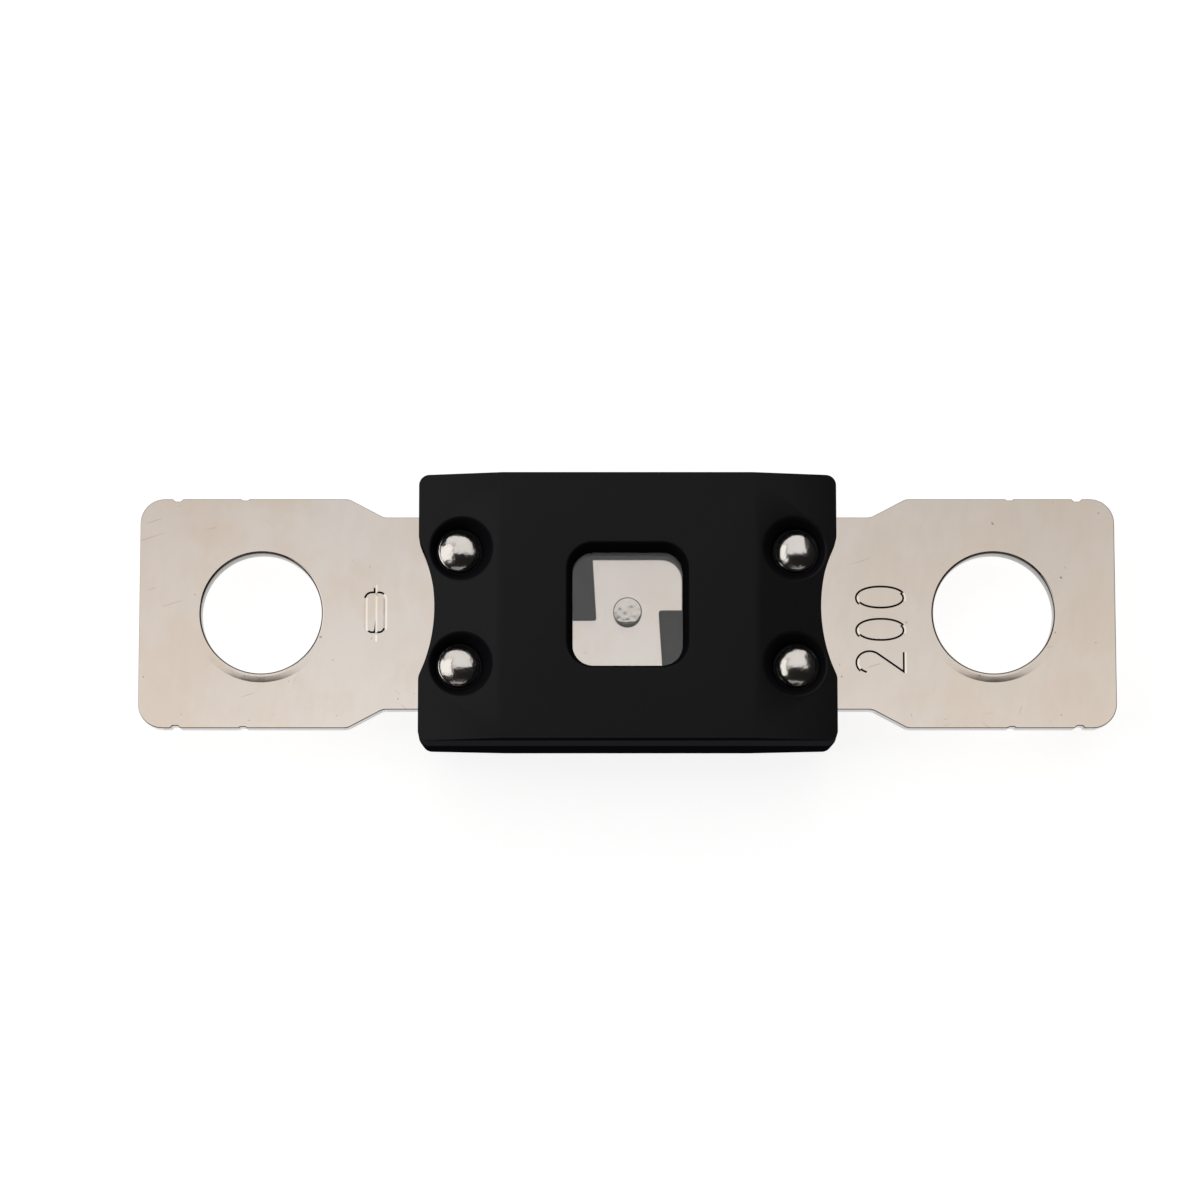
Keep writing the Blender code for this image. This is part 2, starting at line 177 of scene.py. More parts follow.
class FUSE_PG_housing(bpy.types.PropertyGroup):
    side_draft: angle("Side draft", 1.0, "Lean of the long walls")
    end_draft: angle("End draft", 1.0, "Lean of the end walls")
    plateau_length: length("Plateau length", 17.2, "Flat part of the roof")
    end_drop: length("End drop", 1.55, "How far the roof falls from the plateau to each end")
    corner: length("Corner", 0.7, "Radius of the upright corners")
    long_edge: length("Long edge", 0.5, "Rounding of the long edges of the roof")
    end_edge: factor("End edge", 0.3, "Rounding of the end edges, as a share of the long ones'")
    seam_edge: length("Seam edge", 0.07, "Broken edge at the parting face")
    scallop_width: length("Scallop width", 9.6, "Across the hollow in each end")
    scallop_depth: length("Scallop depth", 1.1, "Depth of that hollow")
    scallop_blend: length("Scallop blend", 1.0, "Radius where the hollow meets the end")
    channel_width: length("Channel width", 13.6, "Across the channel that the strip lies in")
    chamber_length: length("Chamber length", 15.0, "Hollow round the fusible section, along the strip")
    chamber_width: length("Chamber width", 12.6, "Hollow round the fusible section, across the strip")
    upper_chamber: length("Upper chamber", 2.3, "Height of the hollow in the upper shell")
    lower_chamber: length("Lower chamber", 3.1, "Depth of the hollow in the lower shell")
    chamber_corner: length("Chamber corner", 1.0, "Radius of the hollow's corners")
    pocket_clearance: length("Pocket clearance", 0.12, "Round a rivet head on the pocket's floor")
    pocket_rim: length("Pocket rim", 4.2, "Across the mouth of a rivet pocket, without its rounding")
    rim_round: length("Rim round", 0.2, "Rounding of a pocket's mouth")


class FUSE_PG_window(bpy.types.PropertyGroup):
    opening_length: length("Length", 8.35, "Of the window, along the strip")
    opening_width: length("Width", 8.6, "Of the window, across the strip")
    corner: length("Corner", 1.8, "Radius of the window's corners")
    taper: length("Taper", 0.36, "How far the window's walls close in on their way down")
    rim_round: length("Rim round", 0.12, "Rounding of the window's rim")


class FUSE_PG_rivet(bpy.types.PropertyGroup):
    shank: length("Shank", 1.9, "Diameter of a rivet's shank")
    edge: length("Edge", 0.5, "Upright edge under the crown")
    crown: length("Crown", 0.3, "Rise of the crown over that edge")
    edge_round: length("Edge round", 0.05, "Rounding between the crown and its edge")


class FUSE_PG_pellet(bpy.types.PropertyGroup):
    shank: length("Shank", 1.1, "Diameter of the pellet's shank")
    crown: length("Crown", 0.01, "Rise of the button's face to its middle")
    edge_round: length("Edge round", 0.1, "Rounding of the button's edge")
    dimple: length("Dimple", 0.012, "Depth of the centre mark")
    dimple_width: length("Dimple width", 0.3, "Across the centre mark")
    unevenness: length("Unevenness", 0.03, "How far the pressed face strays from flat")
    facet: length("Facet", 0.3, "Size of the flat spots that pressing leaves")
    front_bevel: length("Front bevel", 0.26, "Width of the slope that the face has at its front")
    front_slope: angle("Front slope", 20.0, "Lean of that slope")


class FUSE_PG_finish(bpy.types.PropertyGroup):
    plating: colour("Plating", (0.715, 0.655, 0.610), "Bright plating of the strip")
    plating_warm: colour("Warm plating", (0.695, 0.600, 0.515), "Plating near the ends and in clouds")
    plating_dull: colour("Dull plating", (0.600, 0.530, 0.460), "Duller plating towards the right end")
    # Painted shade: the plating's colours are multiplied by a share that falls towards the back, in place of
    # the overhead panel's reflection fading there
    painted_shade_at_middle: factor("Plating shade", 0.96, "Share of its colours left at the strip's middle")
    painted_shade_fall: factor("Plating fall", 0.012, "Loss of that share with each millimetre towards the back")
    plating_roughness: factor("Plating roughness", 0.07, "Roughness of the plating")
    # Dark colour of every steep face of the strip: the sheared edges' own dull tone, and painted shade, also
    # on the hole walls and the steep part of the hole mouths
    cut_edge_and_shade: colour("Cut edge", (0.16, 0.15, 0.14), "Sheared edges of the strip")
    tin: colour("Tin", (0.70, 0.655, 0.61), "Pressed tin")
    rivet: colour("Rivet", (0.70, 0.67, 0.645), "Polished rivet heads")
    moulding: colour("Moulding", (0.0042, 0.0042, 0.0050), "Black moulded shells")
    moulding_roughness: factor("Moulding roughness", 0.40, "Roughness of the shells")
    moulding_shine: factor("Moulding shine", 0.19, "Specular level of the shells' roofs")
    wall_tone: factor("Wall tone", 2.5, "Tone of the shells' dull walls, as a multiple of the moulding's")
    # Painted reflection of the bright floor: a paler band along the upper shell's long walls
    wall_painted_reflection: factor("Wall band", 12.0, "Tone of their paler band, as a multiple of the moulding's")


class FUSE_PG_stage(bpy.types.PropertyGroup):
    floor: colour("Floor", (0.5, 0.5, 0.5), "Floor under the fuse")
    floor_glow: factor("Floor glow", 0.84, "White that the camera sees on the floor, also in the shadow")
    tilt: angle("Tilt", 7.7, "Lean of the camera from straight above")
    distance: length("Distance", 300.0, "From the camera to the strip")
    lens: FloatProperty(name="Lens", description="Focal length in millimetres", default=128.9)
    aim_across: length("Aim across", -1.91, "Where the camera looks, right of the fuse's middle")
    aim_up: length("Aim up", 1.02, "Where the camera looks, above the fuse's middle in the picture")
    panel: factor("Panel", 0.98, "Radiance of the overhead panel")
    left_box: factor("Left box", 1.3, "Radiance of the softbox at the left")
    front_bar: factor("Front bar", 0.5, "Radiance of the narrow lamp at the front")
    walls: factor("Walls", 0.5, "Radiance of the pale low walls round the table")
    ceiling: factor("Ceiling", 0.014, "Radiance of the dim ceiling round the lamps")


class FUSE_PG_settings(bpy.types.PropertyGroup):
    strip: PointerProperty(type=FUSE_PG_strip)
    stamp: PointerProperty(type=FUSE_PG_stamp)
    housing: PointerProperty(type=FUSE_PG_housing)
    window: PointerProperty(type=FUSE_PG_window)
    rivet: PointerProperty(type=FUSE_PG_rivet)
    pellet: PointerProperty(type=FUSE_PG_pellet)
    finish: PointerProperty(type=FUSE_PG_finish)
    stage: PointerProperty(type=FUSE_PG_stage)


# Outlines and solids


def rounded(corners, inset=0.0):
    """A flat outline from anticlockwise (x, y, radius) corners, moved inwards by the inset."""
    outline = []
    for index, (x, y, radius) in enumerate(corners):
        here = Vector((x, y))
        came = (here - Vector(corners[index - 1][:2])).normalized()
        goes = (Vector(corners[(index + 1) % len(corners)][:2]) - here).normalized()
        turn = math.atan2(came.x * goes.y - came.y * goes.x, came.dot(goes))
        inward = Vector((-came.y, came.x))
        inward_next = Vector((-goes.y, goes.x))
        here += inset * (inward + inward_next) / (1 + inward.dot(inward_next))
        if radius == 0:
            outline.append(tuple(here))
            continue
        side = math.copysign(1.0, turn)
        radius = max(radius - side * inset, LEAST_RADIUS)
        start = here - came * radius * math.tan(abs(turn) / 2)
        centre = start + side * radius * inward
        steps = max(2, math.ceil(abs(turn) / CORNER_STEP))
        for step in range(steps + 1):
            outline.append(tuple(centre + Matrix.Rotation(turn * step / steps, 2) @ (start - centre)))
    return outline


def rectangle(size_x, size_y, radius):
    x = size_x / 2
    y = size_y / 2
    return [(-x, -y, radius), (x, -y, radius), (x, y, radius), (-x, y, radius)]


def object_from(bm, name):
    bmesh.ops.recalc_face_normals(bm, faces=bm.faces)
    mesh = bpy.data.meshes.new(name)
    bm.to_mesh(mesh)
    bm.free()
    shape = bpy.data.objects.new(name, mesh)
    bpy.context.scene.collection.objects.link(shape)
    return shape


def loft(name, sections):
    """A closed solid through sections (z, outline), from the lowest up. Outlines have as many points."""
    bm = bmesh.new()
    rings = [[bm.verts.new((x, y, z)) for x, y in outline] for z, outline in sections]
    bm.faces.new(list(reversed(rings[0])))
    bm.faces.new(rings[-1])
    for low, high in zip(rings, rings[1:]):
        for index in range(len(low)):
            bm.faces.new((low[index - 1], low[index], high[index], high[index - 1]))
    return object_from(bm, name)


def turned(name, profile, place=(0, 0, 0), steps=ROUND_STEPS):
    """A solid turned about Z from (radius, z) points that start and end on the axis."""
    bm = bmesh.new()
    points = [bm.verts.new((radius, 0, z)) for radius, z in profile]
    edges = [bm.edges.new(pair) for pair in zip(points, points[1:])]
    bmesh.ops.spin(bm, geom=points + edges, cent=(0, 0, 0), axis=(0, 0, 1), angle=2 * math.pi, steps=steps)
    bmesh.ops.remove_doubles(bm, verts=bm.verts, dist=MERGE)
    bmesh.ops.translate(bm, verts=bm.verts, vec=place)
    return object_from(bm, name)


def quarter(radius, steps=5):
    """(inwards, down) along a quarter round, from the side of the edge to its top."""
    angles = [math.pi / 2 * step / steps for step in range(steps + 1)]
    return [(radius * (1 - math.cos(a)), radius * (1 - math.sin(a))) for a in angles]


def settle(shape):
    """The shape with its modifiers worked into its mesh."""
    graph = bpy.context.evaluated_depsgraph_get()
    mesh = bpy.data.meshes.new_from_object(shape.evaluated_get(graph))
    shape.modifiers.clear()
    shape.data = mesh
    mesh.name = shape.name


def cut(shape, tools):
    """Cuts the tools out of the shape, and deletes them."""
    for tool in tools:
        modifier = shape.modifiers.new(tool.name, "BOOLEAN")
        modifier.operation = "DIFFERENCE"
        modifier.solver = "EXACT"
        modifier.object = tool
    settle(shape)
    if not shape.data.polygons:
        raise RuntimeError(f"a cut has emptied {shape.name}")
    for tool in tools:
        bpy.data.objects.remove(tool, do_unlink=True)


def shade(shape, broad=4e-6, level=0.9999):
    """Smooth shading that keeps flats flat. Broad is an area, and level the rise of a normal."""
    bm = bmesh.new()
    bm.from_mesh(shape.data)
    for face in bm.faces:
        face.smooth = True
    for edge in bm.edges:
        areas = [face.calc_area() for face in edge.link_faces]
        limit = SMALL_BEND
        if max(areas, default=0) > broad or any(abs(face.normal.z) > level for face in edge.link_faces):
            limit = BROAD_BEND
        if min(areas, default=0) > broad:
            limit = FLAT_BEND
        edge.smooth = edge.calc_face_angle(0) < math.radians(limit)
    bm.to_mesh(shape.data)
    bm.free()
    modifier = shape.modifiers.new("normals", "WEIGHTED_NORMAL")
    modifier.keep_sharp = True
    settle(shape)


def finished(shape, node_names, material):
    """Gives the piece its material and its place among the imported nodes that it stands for."""
    shape.data.materials.clear()
    shape.data.materials.append(material)
    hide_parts(*node_names)
    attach(shape, BODY)


# Shader maths


class Socket:
    """An output that adds a Math node when it stands in an expression."""

    def __init__(self, finish, output):
        self.finish = finish
        self.output = output

    def __add__(self, other):
        return self.finish.maths("ADD", self, other)

    def __sub__(self, other):
        return self.finish.maths("SUBTRACT", self, other)

    def __rsub__(self, other):
        return self.finish.maths("SUBTRACT", other, self)

    def __mul__(self, other):
        return self.finish.maths("MULTIPLY", self, other)

    def __abs__(self):
        return self.finish.maths("ABSOLUTE", self, 0.0)

    __radd__ = __add__
    __rmul__ = __mul__


class Finish:
    """A material with a Principled shader, whose nodes are added one by one."""

    def __init__(self, name, constants):
        self.material = bpy.data.materials.new(name)
        self.material.use_nodes = True
        self.tree = self.material.node_tree
        self.shader = self.tree.nodes["Principled BSDF"]
        for socket, value in constants.items():
            self.shader.inputs[socket].default_value = value

    def node(self, kind, settings, inputs, output=0):
        made = self.tree.nodes.new(kind)
        for name, value in settings.items():
            setattr(made, name, value)
        for name, value in inputs.items():
            self.feed(made.inputs[name], value)
        return Socket(self, made.outputs[output])

    def feed(self, target, value):
        if isinstance(value, Socket):
            self.tree.links.new(value.output, target)
        else:
            target.default_value = value

    def give(self, name, value):
        self.feed(self.shader.inputs[name], value)

    def maths(self, operation, first, second):
        return self.node("ShaderNodeMath", {"operation": operation}, {0: first, 1: second})

    def place(self, grain=(1.0, 1.0, 1.0), turn=0.0):
        """The object's coordinates in millimetres, where a pattern is grain times as long and turned."""
        position = self.node("ShaderNodeTexCoord", {}, {}, "Object")
        return self.node(
            "ShaderNodeMapping",
            {"vector_type": "TEXTURE"},
            {"Vector": position, "Rotation": (0.0, 0.0, turn), "Scale": [MM * value for value in grain]},
        )

    def noise(self, scale, detail=2.0, roughness=0.5, grain=(1.0, 1.0, 1.0), turn=0.0):
        inputs = {"Vector": self.place(grain, turn), "Scale": scale, "Detail": detail, "Roughness": roughness}
        return self.node("ShaderNodeTexNoise", {}, inputs)

    def axis(self, vector, name):
        return self.node("ShaderNodeSeparateXYZ", {}, {"Vector": vector}, name)

    def upright(self, steep, level):
        """1 where the normal's rise is under steep, as on walls, and 0 where it is over level."""
        rise = self.axis(self.node("ShaderNodeNewGeometry", {}, {}, "Normal"), "Z")
        return 1.0 - self.band(abs(rise), steep, level)

    def band(self, value, low, high):
        """0 below low and 1 above high, with a smooth step between."""
        inputs = {"Value": value, "From Min": low, "From Max": high}
        return self.node("ShaderNodeMapRange", {"interpolation_type": "SMOOTHSTEP"}, inputs)

    def blend(self, mask, first, second, kind="MIX"):
        settings = {"data_type": "RGBA", "blend_type": kind}
        return self.node("ShaderNodeMix", settings, {0: mask, 6: first, 7: second}, 2)

    def cover(self, mask, shader):
        """Lets another shader take the place of the Principled one where the mask is 1."""
        mixed = self.node("ShaderNodeMixShader", {}, {0: mask, 2: shader})
        first = mixed.output.node.inputs[1]
        self.tree.links.new(self.shader.outputs[0], first)
        self.tree.links.new(mixed.output, self.tree.nodes["Material Output"].inputs["Surface"])

    def bump(self, height, distance, strength=1.0):
        inputs = {"Height": height, "Distance": distance, "Strength": strength}
        self.give("Normal", self.node("ShaderNodeBump", {}, inputs))


def opaque(values):
    return (*values, 1.0)


def plating_material(finish):
    """Bright plating with warmer and duller clouds, faint streaks, thin scratches and specks, painted shade
    towards the back, and steep faces darkened by their own dull tone and painted shade.
    """
    made = Finish("bright_plating", {"Metallic": 1.0})
    along = made.axis(made.place(), "X")
    across = made.axis(made.place(), "Y")
    clouds = made.noise(0.20, 3.0, 0.6)
    patches = made.noise(0.11, 2.0, 0.5, turn=0.6)
    ends = made.band(abs(along), 13.0, 33.0)
    warm = ends * 0.7 + made.band(clouds, 0.38, 0.64) * 0.7 - 0.22
    dull = made.band(along, -14.0, 34.0) * 0.5 + patches * 0.8 - 0.4
    # Painted shade, darker towards the back
    shade = finish.painted_shade_at_middle - across * finish.painted_shade_fall
    streaks = made.noise(0.9, 2.0, 0.5, (2.0, 0.7, 1.0), 1.4)
    colour = made.blend(warm, opaque(finish.plating), opaque(finish.plating_warm))
    colour = made.blend(dull + made.band(streaks, 0.35, 0.65) * 0.12, colour, opaque(finish.plating_dull))
    specks = made.band(made.noise(2.6, 1.0, 0.4), 0.775, 0.80)
    colour = made.blend(specks * 0.6, colour, opaque(SPECK))
    # Multiplies in the painted shade
    colour = made.blend(1.0, colour, shade, "MULTIPLY")
    # Steep faces take that dark colour: the sheared edges' own dull tone, and painted shade
    made.give("Base Color", made.blend(made.upright(0.85, 0.95), colour, opaque(finish.cut_edge_and_shade)))
    scratches = sum(
        made.band(made.noise(scale, 1.0, 0.5, (5.0, 0.09, 1.0), turn), 0.74, 0.80)
        * made.band(made.noise(0.3 * scale, 1.0), 0.55, 0.65)
        for turn, scale in ((0.3, 0.9), (1.25, 1.1), (2.4, 1.0))
    )
    roughness = made.noise(0.5, 3.0, 0.6) * 0.06 + (finish.plating_roughness - 0.03) + scratches * 0.1
    made.give("Roughness", roughness)
    made.bump(clouds + streaks * 0.15 - scratches * 0.3, 0.008 * MM, 0.6)
    return made.material


def tin_material(finish):
    made = Finish("pressed_tin", {"Metallic": 1.0})
    patches = made.noise(2.2, 3.0, 0.6)
    made.give("Base Color", made.blend(patches, opaque(finish.tin), opaque(TIN_PATCH)))
    made.give("Roughness", patches * 0.15 + 0.10)
    made.bump(made.noise(3.5, 3.0, 0.6), 0.012 * MM)
    return made.material


def rivet_material(finish):
    made = Finish("polished_rivet", {"Metallic": 1.0})
    haze = made.noise(1.4, 2.0, 0.5)
    crown = made.blend(haze, opaque(finish.rivet), opaque(RIVET_HAZE))
    # The head's steep edge takes the painted shade
    made.give("Base Color", made.blend(made.upright(0.84, 0.91), crown, opaque(RIVET_EDGE_PAINTED_SHADE)))
    made.give("Roughness", haze * 0.06 + 0.11)
    made.bump(made.noise(1.3, 2.0, 0.5), 0.03 * MM)
    return made.material


def moulding_material(finish):
    """Satin black roofs with a fine skin and faint flow clouds, and dull walls with a paler band of painted
    floor reflection.
    """
    made = Finish("black_moulding", {"Specular IOR Level": finish.moulding_shine})
    flow = made.noise(0.22, 3.0, 0.6)
    lighter = tuple(1.5 * value for value in finish.moulding)
    made.give("Base Color", made.blend(flow, opaque(finish.moulding), opaque(lighter)))
    skin = made.noise(9.0, 2.0, 0.6)
    made.give("Roughness", flow * 0.10 + skin * 0.05 + (finish.moulding_roughness - 0.07))
    made.bump(skin, 0.006 * MM, 0.7)
    # Painted reflection: a paler band along the upper shell's long walls, standing in for the floor mirrored
    # there
    height = made.axis(made.place(), "Z") - MIDDLE / MM
    outside = made.band(abs(made.axis(made.place(), "Y")), 8.7, 8.8)
    band = made.band(height, 0.6, 0.9) * (1.0 - made.band(height, 3.6, 4.1)) * outside
    plain = [finish.wall_tone * value for value in finish.moulding]
    painted_reflection_tone = [finish.wall_painted_reflection * value for value in finish.moulding]
    wall = made.blend(band, opaque(plain), opaque(painted_reflection_tone))
    made.cover(made.upright(0.80, 0.96), made.node("ShaderNodeBsdfDiffuse", {}, {"Color": wall}))
    return made.material


def lens_material():
    made = Finish("clear_plate", {"Base Color": opaque(CLEAR), "Transmission Weight": 1.0, "IOR": 1.5})
    made.give("Roughness", made.noise(0.6, 2.0, 0.5) * 0.03 + 0.005)
    return made.material


# Strip


def nick_corners(strip):
    """The two small steps in the front edge of the right pad, where one stroke of the die met the next."""
    corners = []
    for x, depth in ((strip.inner_nick, strip.inner_nick_depth), (strip.outer_nick, strip.outer_nick_depth)):
        half = strip.nick_width / 2
        for offset, rise in ((-half - depth, 0), (-half, depth), (half, depth), (half + depth, 0)):
            corners.append((x + offset, rise - STRIP_HIGH.y, strip.nick_round))
    return corners


def strip_edge(strip, notch_depth):
    """The front edge of the strip from left to right, with one notch beside the link."""
    end = STRIP_HIGH.x
    pad = STRIP_HIGH.y
    neck = strip.neck_width / 2
    neck_end = HOUSING_LENGTH / 2 + strip.neck_length
    shoulder = neck_end + strip.taper_length
    waist = strip.link_width / 2
    far_side = waist + strip.notch_length
    floor = notch_depth - neck
    nicks = nick_corners(strip)
    return [
        (-end, -pad, strip.pad_corner),
        *[(-x, y, radius) for x, y, radius in reversed(nicks)],
        (-shoulder, -pad, strip.taper_round),
        (-neck_end, -neck, strip.taper_round),
        (waist + strip.link_flare, -neck, strip.notch_corner),
        (waist, floor, strip.notch_corner),
        (far_side, floor, strip.notch_corner),
        (far_side, -neck, strip.notch_corner),
        (neck_end, -neck, strip.taper_round),
        (shoulder, -pad, strip.taper_round),
        *nicks,
        (end, -pad, strip.pad_corner),
    ]


def strip_blank(strip):
    front = strip_edge(strip, strip.front_notch)
    corners = front + [(-x, -y, radius) for x, y, radius in strip_edge(strip, strip.back_notch)]
    lower = [(down - STRIP_HALF, inwards) for inwards, down in reversed(quarter(strip.burr_round, 2))]
    upper = [(STRIP_HALF - down, inwards) for inwards, down in quarter(strip.edge_roll)]
    sections = [(MIDDLE + z, rounded(corners, inset)) for z, inset in lower + upper]
    return loft("dressed_strip", sections)


def bolt_hole_tool(strip, x):
    """A bolt hole with a round mouth, and a hair deep round it the ring that becomes its lip."""
    radius = strip.hole_diameter / 2
    ring = STRIP_HALF - HAIR
    past = STRIP_HALF + PAST
    profile = [(0, -past), (radius, -past)]
    profile += [(radius + inwards, ring - down) for inwards, down in quarter(strip.mouth_round)]
    beside_mouth = radius + 1.4 * strip.mouth_round
    rim = radius + strip.lip_width
    profile += [(beside_mouth, ring), (rim, ring), (rim, past), (0, past)]
    return turned("bolt_hole_tool", profile, (x, 0, MIDDLE), HOLE_STEPS)


def raise_lips(shape, strip):
    """Lifts the ring round each bolt hole to a low lip, highest at the hole's mouth."""
    for vertex in shape.data.vertices:
        from_middle = math.hypot(abs(vertex.co.x) - strip.hole_pitch / 2, vertex.co.y)
        share = 1 - (from_middle - strip.hole_diameter / 2) / strip.lip_width
        if vertex.co.z > MIDDLE and share > 0.01:
            vertex.co.z += HAIR + share * strip.lip_height


def arc(centre, radii, start, end, steps=28):
    """Points along part of an ellipse, between two angles in degrees."""
    angles = [math.radians(start + (end - start) * step / steps) for step in range(steps + 1)]
    return [(centre[0] + radii[0] * math.cos(a), centre[1] + radii[1] * math.sin(a)) for a in angles]


def blunted(value):
    """A sine or cosine brought to 0 to 1 and pushed outwards a little, which blunts an ellipse's ends."""
    return 0.5 + math.copysign(0.5 * abs(value) ** 0.93, value)


def digit_strokes(digit):
    """Strokes (points, closed) of a plain digit in a box one wide and one high."""
    if digit == "0":
        turns = [2 * math.pi * step / 48 for step in range(48)]
        return [([(blunted(math.cos(a)), blunted(math.sin(a))) for a in turns], True)]
    if digit == "2":
        hook = arc((0.5, 0.74), (0.5, 0.26), 165, -35)
        return [(hook + [(0.02, 0.02)], False), ([(0.0, 0.0), (1.0, 0.0)], False)]
    raise ValueError(f"no strokes for {digit!r}")


def groove_tool(name, points, closed, stamp):
    """A tool with a sharp keel under flat points, which presses a groove of the stamp's width and depth."""
    spare = 1.1  # the keel's flanks run on above the strip by a tenth of their depth
    low = STRIP_HIGH.z - stamp.depth
    high = low + spare * stamp.depth
    route = [Vector(point) for point in points]
    last = len(route) - 1
    bm = bmesh.new()
    sections = []
    for index, here in enumerate(route):
        before = route[index - 1] if index or closed else 2 * here - route[1]
        after = route[(index + 1) % len(route)] if index < last or closed else 2 * here - route[last - 1]
        came = (here - before).normalized()
        along = (came + (after - here).normalized()).normalized()
        side = Vector((-along.y, along.x)) * spare * stamp.groove / 2 / along.dot(came)
        places = ((*(here + side), high), (*here, low), (*(here - side), high))
        sections.append([bm.verts.new(place) for place in places])
    for first, second in zip(sections, sections[1:] + sections[:1] if closed else sections[1:]):
        for a, b in ((0, 1), (1, 2), (2, 0)):
            bm.faces.new((first[a], first[b], second[b], second[a]))
    if not closed:
        bm.faces.new(sections[0])
        bm.faces.new(sections[-1])
    return object_from(bm, name)


def number_tools(stamp):
    """The number, read from the front edge to the back one, with its tops towards the housing."""
    width = stamp.width - stamp.groove
    height = stamp.height - stamp.groove
    foot = stamp.foot - stamp.groove / 2
    for place, digit in enumerate(stamp.digits):
        middle = (place - (len(stamp.digits) - 1) / 2) * stamp.spacing + stamp.middle
        for points, closed in digit_strokes(digit):
            flat = [(foot - v * height, middle + (u - 0.5) * width) for u, v in points]
            yield groove_tool(f"digit_{place}_tool", flat, closed, stamp)


def symbol_tools(stamp):
    """The common sign for a fuse: an oblong with a line through it."""
    x = stamp.symbol_place
    half = stamp.symbol_length / 2
    wide = 0.68 * half
    high = 1.4 * half
    corner = 1.6 * stamp.groove
    oblong = [(x + px, py) for px, py in rounded(rectangle(wide, high, corner))]
    yield groove_tool("symbol_line_tool", [(x, -half), (x, half)], False, stamp)
    yield groove_tool("symbol_oblong_tool", oblong, True, stamp)


# Housing


def housing_corners(housing, height):
    """The shell's plan at a height over the parting plane: drafted walls and a scallop in each end."""
    x = HOUSING_LENGTH / 2 - height * math.tan(housing.end_draft)
    y = HOUSING_WIDTH / 2 - height * math.tan(housing.side_draft)
    chord = housing.scallop_width / 2
    depth = housing.scallop_depth
    radius = (chord**2 + depth**2) / (2 * depth)
    reach = math.asin(chord / radius)
    steps = 30
    half = [(x, -y, housing.corner), (x, -chord, housing.scallop_blend)]
    for step in range(3, steps - 2):
        turn = reach * (2 * step / steps - 1)
        half.append((x - radius * math.cos(turn) + radius - depth, radius * math.sin(turn), 0))
    half += [(x, chord, housing.scallop_blend), (x, y, housing.corner)]
    return half + [(-px, -py, corner) for px, py, corner in half]


def housing_blank(name, housing):
    """The outside of one shell from its parting face up, with its roof edges rounded."""
    seam = housing.seam_edge
    sections = [
        (FIT, rounded(housing_corners(housing, 0), seam)),
        (FIT + seam, rounded(housing_corners(housing, 0))),
        (SHELL_HEIGHT, rounded(housing_corners(housing, SHELL_HEIGHT))),
    ]
    shell = loft(name, sections)
    bm = bmesh.new()
    bm.from_mesh(shell.data)
    slope = math.atan2(housing.end_drop, (HOUSING_LENGTH - housing.plateau_length) / 2)
    for side in (-1, 1):
        cut_off = bmesh.ops.bisect_plane(
            bm,
            geom=bm.verts[:] + bm.edges[:] + bm.faces[:],
            plane_co=(side * housing.plateau_length / 2, 0, SHELL_HEIGHT),
            plane_no=(side * math.sin(slope), 0, math.cos(slope)),
            clear_outer=True,
        )
        rim = [item for item in cut_off["geom_cut"] if isinstance(item, bmesh.types.BMEdge)]
        bmesh.ops.edgeloop_fill(bm, edges=rim)
    bmesh.ops.recalc_face_normals(bm, faces=bm.faces)
    weights = bm.edges.layers.float.new("bevel_weight_edge")
    roof_bend = math.radians(60.0)
    roof_rise = 0.9
    for edge in bm.edges:
        rise = max((face.normal.z for face in edge.link_faces), default=0)
        if edge.calc_face_angle(0) > roof_bend and rise > roof_rise:
            along = (edge.verts[1].co - edge.verts[0].co).normalized()
            edge[weights] = 1.0 if abs(along.x) > 0.8 else housing.end_edge
    bm.to_mesh(shell.data)
    bm.free()
    bevel = shell.modifiers.new("roof_edges", "BEVEL")
    bevel.limit_method = "WEIGHT"
    bevel.width = housing.long_edge
    bevel.segments = 5
    bevel.use_clamp_overlap = True
    settle(shell)
    return shell


def rivet_spots():
    return [(side * RIVET_X, edge * RIVET_Y) for side in (-1, 1) for edge in (-1, 1)]


def roof_height(housing, x):
    slope = 2 * housing.end_drop / (HOUSING_LENGTH - housing.plateau_length)
    return SHELL_HEIGHT - slope * max(0.0, abs(x) - housing.plateau_length / 2)


def rivet_base(rivet):
    return RIVET_TOP - rivet.crown - rivet.edge


def shell_tools(name, housing, rivet, chamber_depth):
    """The strip's channel, the hollow round the link and the four rivet pockets."""
    channel = rounded(rectangle(HOUSING_LENGTH + 2 * PAST, housing.channel_width, 0))
    yield loft(f"{name}_channel_tool", [(-PAST, channel), (STRIP_HALF + FIT, channel)])
    mouth = rectangle(housing.chamber_length, housing.chamber_width, housing.chamber_corner)
    draft = chamber_depth * math.tan(CHAMBER_DRAFT)
    yield loft(f"{name}_chamber_tool", [(-PAST, rounded(mouth)), (chamber_depth, rounded(mouth, draft))])
    floor = rivet_base(rivet) - FIT
    floor_radius = RIVET_HEAD + housing.pocket_clearance
    spread = (housing.pocket_rim / 2 - floor_radius) / (roof_height(housing, RIVET_X) - floor)
    top = SHELL_HEIGHT + PAST
    bore = rivet.shank / 2 + FIT
    wide = floor_radius + spread * (top - floor)
    profile = [(0, -PAST), (bore, -PAST), (bore, floor), (floor_radius, floor), (wide, top), (0, top)]
    for x, y in rivet_spots():
        yield turned(f"{name}_pocket_tool", profile, (x, y, 0))


def window_tools(window):
    """The tapered window, and the recess for the clear plate behind it."""
    rim = rectangle(window.opening_length, window.opening_width, window.corner)
    ledge = LENS_TOP + FIT
    above = window.taper * PAST / (SHELL_HEIGHT - ledge)
    sections = [
        (0, rounded(rim, window.taper)),
        (ledge, rounded(rim, window.taper)),
        (SHELL_HEIGHT + PAST, rounded(rim, -above)),
    ]
    yield loft("window_tool", sections)
    size = LENS_HIGH - LENS_LOW
    recess = rounded(rectangle(size.x + 2 * FIT, size.y + 2 * FIT, window.corner))
    yield loft("recess_tool", [(0, recess), (ledge, recess)])


